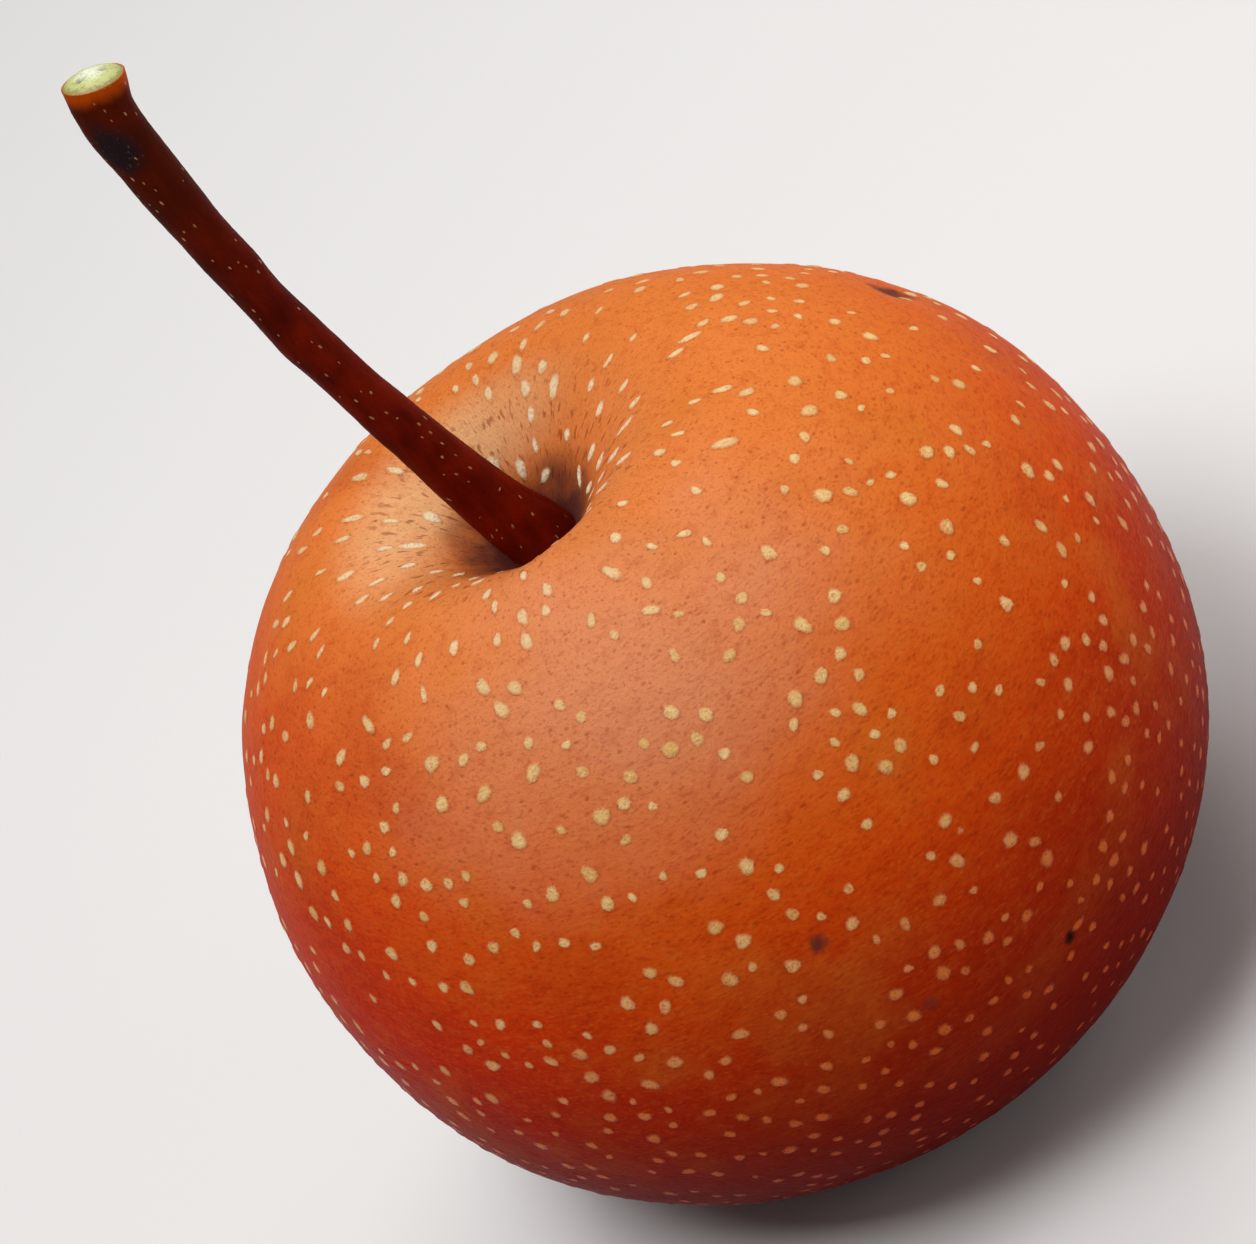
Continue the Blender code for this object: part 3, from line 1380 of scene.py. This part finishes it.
    def _crumpled(self, tree: GeometryGraph, corks: Value) -> Value:
        """Make every cork's outline its own, by a small push sideways.

        Args:
            tree: The scattering tree.
            corks: The corks' geometry.

        Returns:
            The crumpled geometry.
        """
        place = tree.node("GeometryNodeInputPosition")["Position"]
        inputs = {"Vector": place, "Scale": 1.0 / (0.7 * self.largest), "Detail": 1.0}
        push = tree.node("ShaderNodeTexNoise", inputs=inputs)["Color"]
        push = tree.vector("SUBTRACT", push, (0.5, 0.5, 0.5)) * (0.40 * self.largest)
        kept = {"data_type": "FLOAT_VECTOR"}
        up = tree.node("GeometryNodeInputNamedAttribute", kept, {"Name": "up"})["Attribute"]
        sideways = push - tree.vector("PROJECT", push, up)
        x, y, z = tree.split(place + sideways)
        return tree.moved(corks, place=tree.join(x, y, tree.math("MAXIMUM", z, tree["Ground"])))

    def build(
        self, surface: bpy.types.Object, finish: Finish, crown: Vector, slot: str
    ) -> bpy.types.Object:
        """Scatter the corks over a finished piece.

        Args:
            surface: The piece that they grow on.
            finish: Their finish.
            crown: The point on the cavity's axis at the height of the crown.
            slot: The record's material slot that they belong to; it is not used.

        Returns:
            The piece.
        """
        buds = [self.bud(form) for form in range(self.forms)]
        piece = new_piece(self.kind.value, surface.data.copy())
        self.tree(finish.material(), crown, buds).run_on(piece)
        for bud in buds:
            bpy.data.objects.remove(bud)
        return piece


# ---------------------------------------------------------------- calyx scar


@dataclass
class CalyxScar:
    """The corky scar at the bottom of the calyx basin, where the flower fell off."""

    fruit: Fruit
    radius: float = 4.6 * MM
    rings: int = 18
    sides: int = 48
    lift: float = 0.35 * MM

    def build(self, skin: bpy.types.Object) -> bpy.types.Object:
        """Lay the scar on the skin at the bottom of the basin.

        Args:
            skin: The finished skin.

        Returns:
            The piece.
        """
        middle = (self.fruit.low + self.fruit.high) / 2
        shape = bmesh.new()
        loops = []
        for ring in range(1, self.rings + 1):
            share = ring / self.rings
            loops.append([self._vert(shape, skin, middle, share, side) for side in range(self.sides)])
        centre = shape.verts.new(self._point(skin, middle, 0.0, 0.0))
        for side in range(self.sides):
            after = (side + 1) % self.sides
            shape.faces.new((centre, loops[0][side], loops[0][after]))
            for inner, outer in zip(loops, loops[1:]):
                shape.faces.new((inner[side], outer[side], outer[after], inner[after]))
        lid = bmesh.ops.extrude_face_region(shape, geom=list(shape.faces))
        for vert in lid["geom"]:
            if isinstance(vert, bmesh.types.BMVert):
                vert.co.z += 1.0 * MM
        bmesh.ops.recalc_face_normals(shape, faces=shape.faces)
        piece = new_piece("calyx_scar", mesh_from(shape, "calyx_scar"))
        piece.data.materials.append(DryCork("dry_cork").material())
        return piece

    def _vert(
        self,
        shape: bmesh.types.BMesh,
        skin: bpy.types.Object,
        middle: Vector,
        share: float,
        side: int,
    ) -> bmesh.types.BMVert:
        """Add one point of the scar's face."""
        turn = math.tau * side / self.sides
        return shape.verts.new(self._point(skin, middle, share, turn))

    def _point(self, skin: bpy.types.Object, middle: Vector, share: float, turn: float) -> Vector:
        """A point of the scar: a raised ring round a hollow, sinking into the skin at its edge.

        Args:
            skin: The finished skin.
            middle: The middle of the fruit.
            share: How far out the point is, as a share of the radius.
            turn: The way round, in radians.

        Returns:
            The point.
        """
        ragged = 1.0 + 0.07 * math.cos(5 * turn + 0.4) + 0.03 * math.cos(11 * turn)
        reach = self.radius * share * ragged
        start = Vector((middle.x + reach * math.cos(turn), middle.y + reach * math.sin(turn), -0.01))
        _, point, _, _ = skin.ray_cast(start, Vector((0.0, 0.0, 1.0)))
        ring = math.exp(-(((share - 0.72) / 0.17) ** 2))
        ridges = 0.14 * math.cos(5 * turn + 9 * share) * ring + 0.06 * math.cos(17 * turn) * share
        hollow = -0.22 * math.exp(-((share / 0.34) ** 2))
        edge = -0.9 * max(0.0, (share - 0.86) / 0.14)
        point.z -= self.lift * (0.35 + ring + ridges + hollow + edge)
        return point


# ----------------------------------------------------------------------- stem


@dataclass
class Stem:
    """The long woody stem, swept along the same line as the solid stem."""

    stops: tuple[tuple[Colour, float], ...] = (
        ((0.0, 0.0, 0.0), 2.90),
        ((-0.2, 0.1, 2.4), 2.70),
        ((-1.1, 0.3, 6.0), 2.35),
        ((-2.2, 0.6, 12.5), 2.02),
        ((-3.6, 1.0, 21.5), 1.73),
        ((-4.8, 1.5, 33.0), 1.66),
        ((-5.0, 1.8, 38.2), 1.78),
        ((-5.1, 2.2, 46.0), 1.98),
        ((-4.9, 2.4, 50.4), 2.13),
        ((-4.2, 2.6, 52.7), 2.34),
    )
    knots: tuple[Colour, ...] = ((1.2, -0.5, -17.6), (-1.6, -1.6, -26.0))
    steps_per_span: int = 40
    roundness: int = 12
    sides: int = 48
    cap_rings: int = 16
    cut_dome: float = 0.62
    cut_depth: float = 0.5 * MM
    cut_share: float = 0.99
    pits: tuple[tuple[float, float], ...] = ((-0.42, 0.05), (0.38, 0.12))
    low: Vector = field(default_factory=lambda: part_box(STEM_NODE)[0])
    high: Vector = field(default_factory=lambda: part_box(STEM_NODE)[1])

    def swept_mesh(self) -> bpy.types.Mesh:
        """Sweep the smooth stem and put it into the solid's box.

        Returns:
            The mesh.
        """
        curve = bpy.data.curves.new("stem_line", "CURVE")
        curve.dimensions = "3D"
        curve.bevel_depth = MM
        curve.bevel_resolution = self.roundness
        curve.resolution_u = self.steps_per_span
        curve.use_fill_caps = True
        line = curve.splines.new("BEZIER")
        line.bezier_points.add(len(self.stops) - 1)
        for point, (place, radius) in zip(line.bezier_points, self.stops):
            point.co = Vector(place) * MM
            point.radius = radius
            point.handle_left_type = point.handle_right_type = "AUTO"
        guide = bpy.data.objects.new("stem_line", curve)
        bpy.context.scene.collection.objects.link(guide)
        view = bpy.context.evaluated_depsgraph_get()
        mesh = bpy.data.meshes.new_from_object(guide.evaluated_get(view))
        bpy.data.objects.remove(guide)
        bpy.data.curves.remove(curve)
        self.close_ends(mesh)
        middle = [
            (min(v.co[axis] for v in mesh.vertices) + max(v.co[axis] for v in mesh.vertices)) / 2
            for axis in range(3)
        ]
        mesh.transform(Matrix.Translation((self.low + self.high) / 2 - Vector(middle)))
        return mesh

    @staticmethod
    def close_ends(mesh: bpy.types.Mesh) -> None:
        """Join the ends of a swept tube to its wall, with a sharp edge between them.

        Args:
            mesh: The tube, whose ends are separate faces.
        """
        shape = bmesh.new()
        shape.from_mesh(mesh)
        bmesh.ops.remove_doubles(shape, verts=shape.verts, dist=0.002 * MM)
        bmesh.ops.recalc_face_normals(shape, faces=shape.faces)
        for edge in shape.edges:
            edge.smooth = edge.calc_face_angle(0.0) < math.radians(60)
        shape.to_mesh(mesh)
        shape.free()

    def build(self) -> tuple[bpy.types.Object, bpy.types.Object]:
        """Sweep the bark and close its end with the fresh cut.

        Returns:
            The bark and the cut.
        """
        mesh = self.swept_mesh()
        halfway = (self.low.z + self.high.z) / 2
        end = [face for face in mesh.polygons if len(face.vertices) == 3 and face.center.z > halfway]
        ring = sorted({corner for face in end for corner in face.vertices})
        top = sum((mesh.vertices[corner].co for corner in ring), Vector()) / len(ring)
        along = end[0].normal.copy()
        patch = top + Vector((-1.8, -1.8, -4.2)) * MM
        bark = new_piece("stem_bark", mesh)
        finish = Bark("mahogany_bark", tip=top, along=along, patch=patch)
        self.relief_tree(finish.material(), top).run_on(bark)
        cut = self._cut(top, along, self.stops[-1][1] * MM)
        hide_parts(STEM_NODE)
        return bark, cut

    def relief_tree(self, material: bpy.types.Material, top: Vector) -> GeometryGraph:
        """The tree that gives a smooth stem its ridges and knots.

        Args:
            material: The bark's finish.
            top: The middle of the cut, near which the bark stays smooth.

        Returns:
            The tree.
        """
        inputs = {"Material": material, "Top": tuple(top), "Depth": 1.0}
        inputs.update({f"Knot {n}": tuple(top + Vector(spot) * MM) for n, spot in enumerate(self.knots)})
        tree = GeometryGraph("bark_relief", inputs)
        place = tree.node("GeometryNodeInputPosition")["Position"]
        normal = tree.node("GeometryNodeInputNormal")["Normal"]
        ridges = tree.noise(place * (1.0, 1.0, 0.12), 1.2 * MM, 2.0, 0.55) - 0.5
        knots = tree.noise(place, 5.5 * MM, 1.0) - 0.5
        pimples = tree.noise(place, 0.6 * MM, 1.0) - 0.5
        push = ridges * 0.20 * MM + knots * 0.30 * MM + pimples * 0.05 * MM
        calm = tree.step(tree.length(place - tree["Top"]), 2.2 * MM, 4.0 * MM)
        for number in range(len(self.knots)):
            push = push + tree.bell(tree.length(place - tree[f"Knot {number}"]), 2.2 * MM) * 0.20 * MM
        tree.finish(tree.moved(tree.source["Geometry"], by=normal * push * calm * tree["Depth"]))
        return tree

    def _cut(self, top: Vector, along: Vector, radius: float) -> bpy.types.Object:
        """Make the fresh cut: a thin plug that is slightly domed, with two pits.

        Args:
            top: The middle of the cut.
            along: The way the stem points at its tip.
            radius: The stem's radius there.

        Returns:
            The piece.
        """
        side_way = along.cross(Vector((0.0, 1.0, 0.0))).normalized()
        up_way = along.cross(side_way).normalized()
        shape = bmesh.new()
        layer = shape.verts.layers.float.new("pit")
        centre = shape.verts.new(top + along * 0.65 * MM)
        loops = []
        for ring in range(1, self.cap_rings + 1):
            share = ring / self.cap_rings
            loop = []
            for side in range(self.sides):
                turn = math.tau * side / self.sides
                across, over = share * math.cos(turn), share * math.sin(turn)
                ragged = 1.0 + 0.006 * math.cos(3 * turn + 1.0) * share
                sunk = sum(
                    math.exp(-(((across - pit_x) / 0.17) ** 2) - ((over - pit_y) / 0.12) ** 2)
                    for pit_x, pit_y in self.pits
                )
                dome = 0.04 + self.cut_dome * (1.0 - share**2) - 0.10 * share**12
                rough = 0.03 * math.sin(9 * across + 4) * math.cos(11 * over)
                place = top + (side_way * across + up_way * over) * radius * ragged * self.cut_share
                vert = shape.verts.new(place + along * (dome + rough - 0.45 * sunk) * MM)
                vert[layer] = min(1.0, sunk)
                loop.append(vert)
            loops.append(loop)
        for side in range(self.sides):
            after = (side + 1) % self.sides
            shape.faces.new((centre, loops[0][side], loops[0][after]))
            for inner, outer in zip(loops, loops[1:]):
                shape.faces.new((inner[side], outer[side], outer[after], inner[after]))
        root = [
            shape.verts.new(vert.co - along * self.cut_depth - (vert.co - top) * 0.08)
            for vert in loops[-1]
        ]
        for side in range(self.sides):
            after = (side + 1) % self.sides
            shape.faces.new((loops[-1][side], root[side], root[after], loops[-1][after]))
        shape.faces.new(root)
        bmesh.ops.recalc_face_normals(shape, faces=shape.faces)
        piece = new_piece("stem_cut", mesh_from(shape, "stem_cut"))
        piece.data.materials.append(CutWood("cut_wood", middle=top).material())
        return piece


# --------------------------------------------------------------------- studio


@dataclass(frozen=True)
class Lamp:
    """A soft square light that faces the fruit.

    Its way is where it hangs as the camera sees it: right, up and towards the camera.
    """

    name: str
    way: Colour
    distance: float
    size: float
    power: float
    tint: Colour


@dataclass
class Studio:
    """Floor, soft lights and camera."""

    distance: float = 0.42
    elevation: float = math.radians(34)
    roll: float = math.radians(39)
    aim_height: float = 43.1 * MM
    aim_aside: float = -0.45 * MM
    lens: float = 161.7
    sensor: float = 36.0
    floor_size: float = 6.0
    fill: float = 0.08
    lamps: tuple[Lamp, ...] = (
        Lamp("window", (-0.58, 0.36, 0.73), 0.60, 0.30, power=2.6, tint=(1.0, 0.98, 0.97)),
        Lamp("overhead", (-0.40, 0.85, 0.12), 0.55, 0.45, power=1.3, tint=(1.0, 0.98, 0.95)),
        Lamp("side", (0.80, 0.40, 0.45), 0.60, 0.30, power=0.9, tint=(1.0, 0.97, 0.94)),
        Lamp("rim", (0.55, 0.80, -0.25), 0.60, 0.30, power=1.2, tint=(1.0, 0.97, 0.94)),
    )

    def axes(self) -> tuple[Vector, Vector, Vector]:
        """The camera's own right, up and backward directions.

        Returns:
            The three directions.
        """
        back = Vector((0.0, -math.cos(self.elevation), math.sin(self.elevation)))
        level = Vector((1.0, 0.0, 0.0))
        rise = Vector((0.0, math.sin(self.elevation), math.cos(self.elevation)))
        right = level * math.cos(self.roll) - rise * math.sin(self.roll)
        up = level * math.sin(self.roll) + rise * math.cos(self.roll)
        return right, up, back

    @property
    def aim(self) -> Vector:
        """The point that the camera looks at."""
        return Vector((self.aim_aside, 0.0, self.aim_height))

    def build(self) -> None:
        """Lay the floor, hang the lights and set up the camera."""
        self._floor()
        self._camera()
        self._world()
        for lamp in self.lamps:
            self._hang(lamp)

    def _floor(self) -> None:
        """Lay a plain pale floor."""
        shape = bmesh.new()
        bmesh.ops.create_grid(shape, x_segments=2, y_segments=2, size=self.floor_size / 2)
        floor = new_piece("floor", mesh_from(shape, "floor"))
        floor.data.materials.append(StudioPaper("studio_paper").material())

    def _camera(self) -> None:
        """Aim the camera down at the fruit, rolled so that the stem points up and left."""
        right, up, back = self.axes()
        lens = bpy.data.cameras.new("camera")
        lens.lens = self.lens
        lens.sensor_width = self.sensor
        lens.clip_start = 0.01
        camera = bpy.data.objects.new("camera", lens)
        bpy.context.scene.collection.objects.link(camera)
        place = self.aim + back * self.distance
        camera.matrix_world = Matrix.Translation(place) @ Matrix((right, up, back)).transposed().to_4x4()
        bpy.context.scene.camera = camera

    def _hang(self, lamp: Lamp) -> None:
        """Hang a light so that it faces the fruit.

        Args:
            lamp: The light, with its power in watts.
        """
        right, up, back = self.axes()
        towards = (right * lamp.way[0] + up * lamp.way[1] + back * lamp.way[2]).normalized()
        light = bpy.data.lights.new(lamp.name, "AREA")
        light.shape = "SQUARE"
        light.size = lamp.size
        light.energy = lamp.power
        light.color = lamp.tint
        stand = bpy.data.objects.new(lamp.name, light)
        stand.location = self.aim + towards * lamp.distance
        stand.rotation_euler = towards.to_track_quat("Z", "Y").to_euler()
        bpy.context.scene.collection.objects.link(stand)

    def _world(self) -> None:
        """Fill the room with a low, even light."""
        world = bpy.data.worlds.new("room")
        world.use_nodes = True
        background = world.node_tree.nodes["Background"]
        background.inputs["Color"].default_value = (1.0, 0.98, 0.96, 1.0)
        background.inputs["Strength"].default_value = self.fill
        bpy.context.scene.world = world
        bpy.context.scene.view_settings.view_transform = "Standard"


# ----------------------------------------------------------------------- main


def report(piece: bpy.types.Object) -> None:
    """Log a finished piece and let it ride on the part's body."""
    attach(piece, BODY)
    log.info("%s: %d faces", piece.name, len(piece.data.polygons))


def main() -> None:
    """Build every piece in order."""
    logging.basicConfig(level=logging.INFO, format="%(message)s")
    Studio().build()
    fruit = Fruit()
    finish = RussetSkin(
        "ripe_russet",
        crown=fruit.crown,
        painted_sheen_middle=fruit.surface_point(-98, 56 * MM),
        low=fruit.low.z,
        high=fruit.high.z,
        marks=fruit.marks(),
    )
    skin = fruit.build(finish)
    report(skin)
    lenticels = Lenticels(
        Sprinkle.LENTICELS,
        sides=10,
        spacing=1.75 * MM,
        density=6.0e5,
        smallest=0.54 * MM,
        largest=0.92 * MM,
        seed=7,
    )
    report(lenticels.build(skin, Cork("lenticel_cork", skin=finish), fruit.crown, SKIN_SLOT))
    report(CalyxScar(fruit).build(skin))
    bark, cut = Stem().build()
    report(bark)
    report(cut)
    flecks = Lenticels(
        Sprinkle.STEM_FLECKS,
        sides=7,
        spacing=0.7 * MM,
        density=1.4e6,
        smallest=0.09 * MM,
        largest=0.19 * MM,
        seed=31,
    )
    report(flecks.build(bark, BarkFleck("bark_fleck"), fruit.crown, BARK_SLOT))


if __name__ == "__main__":
    main()
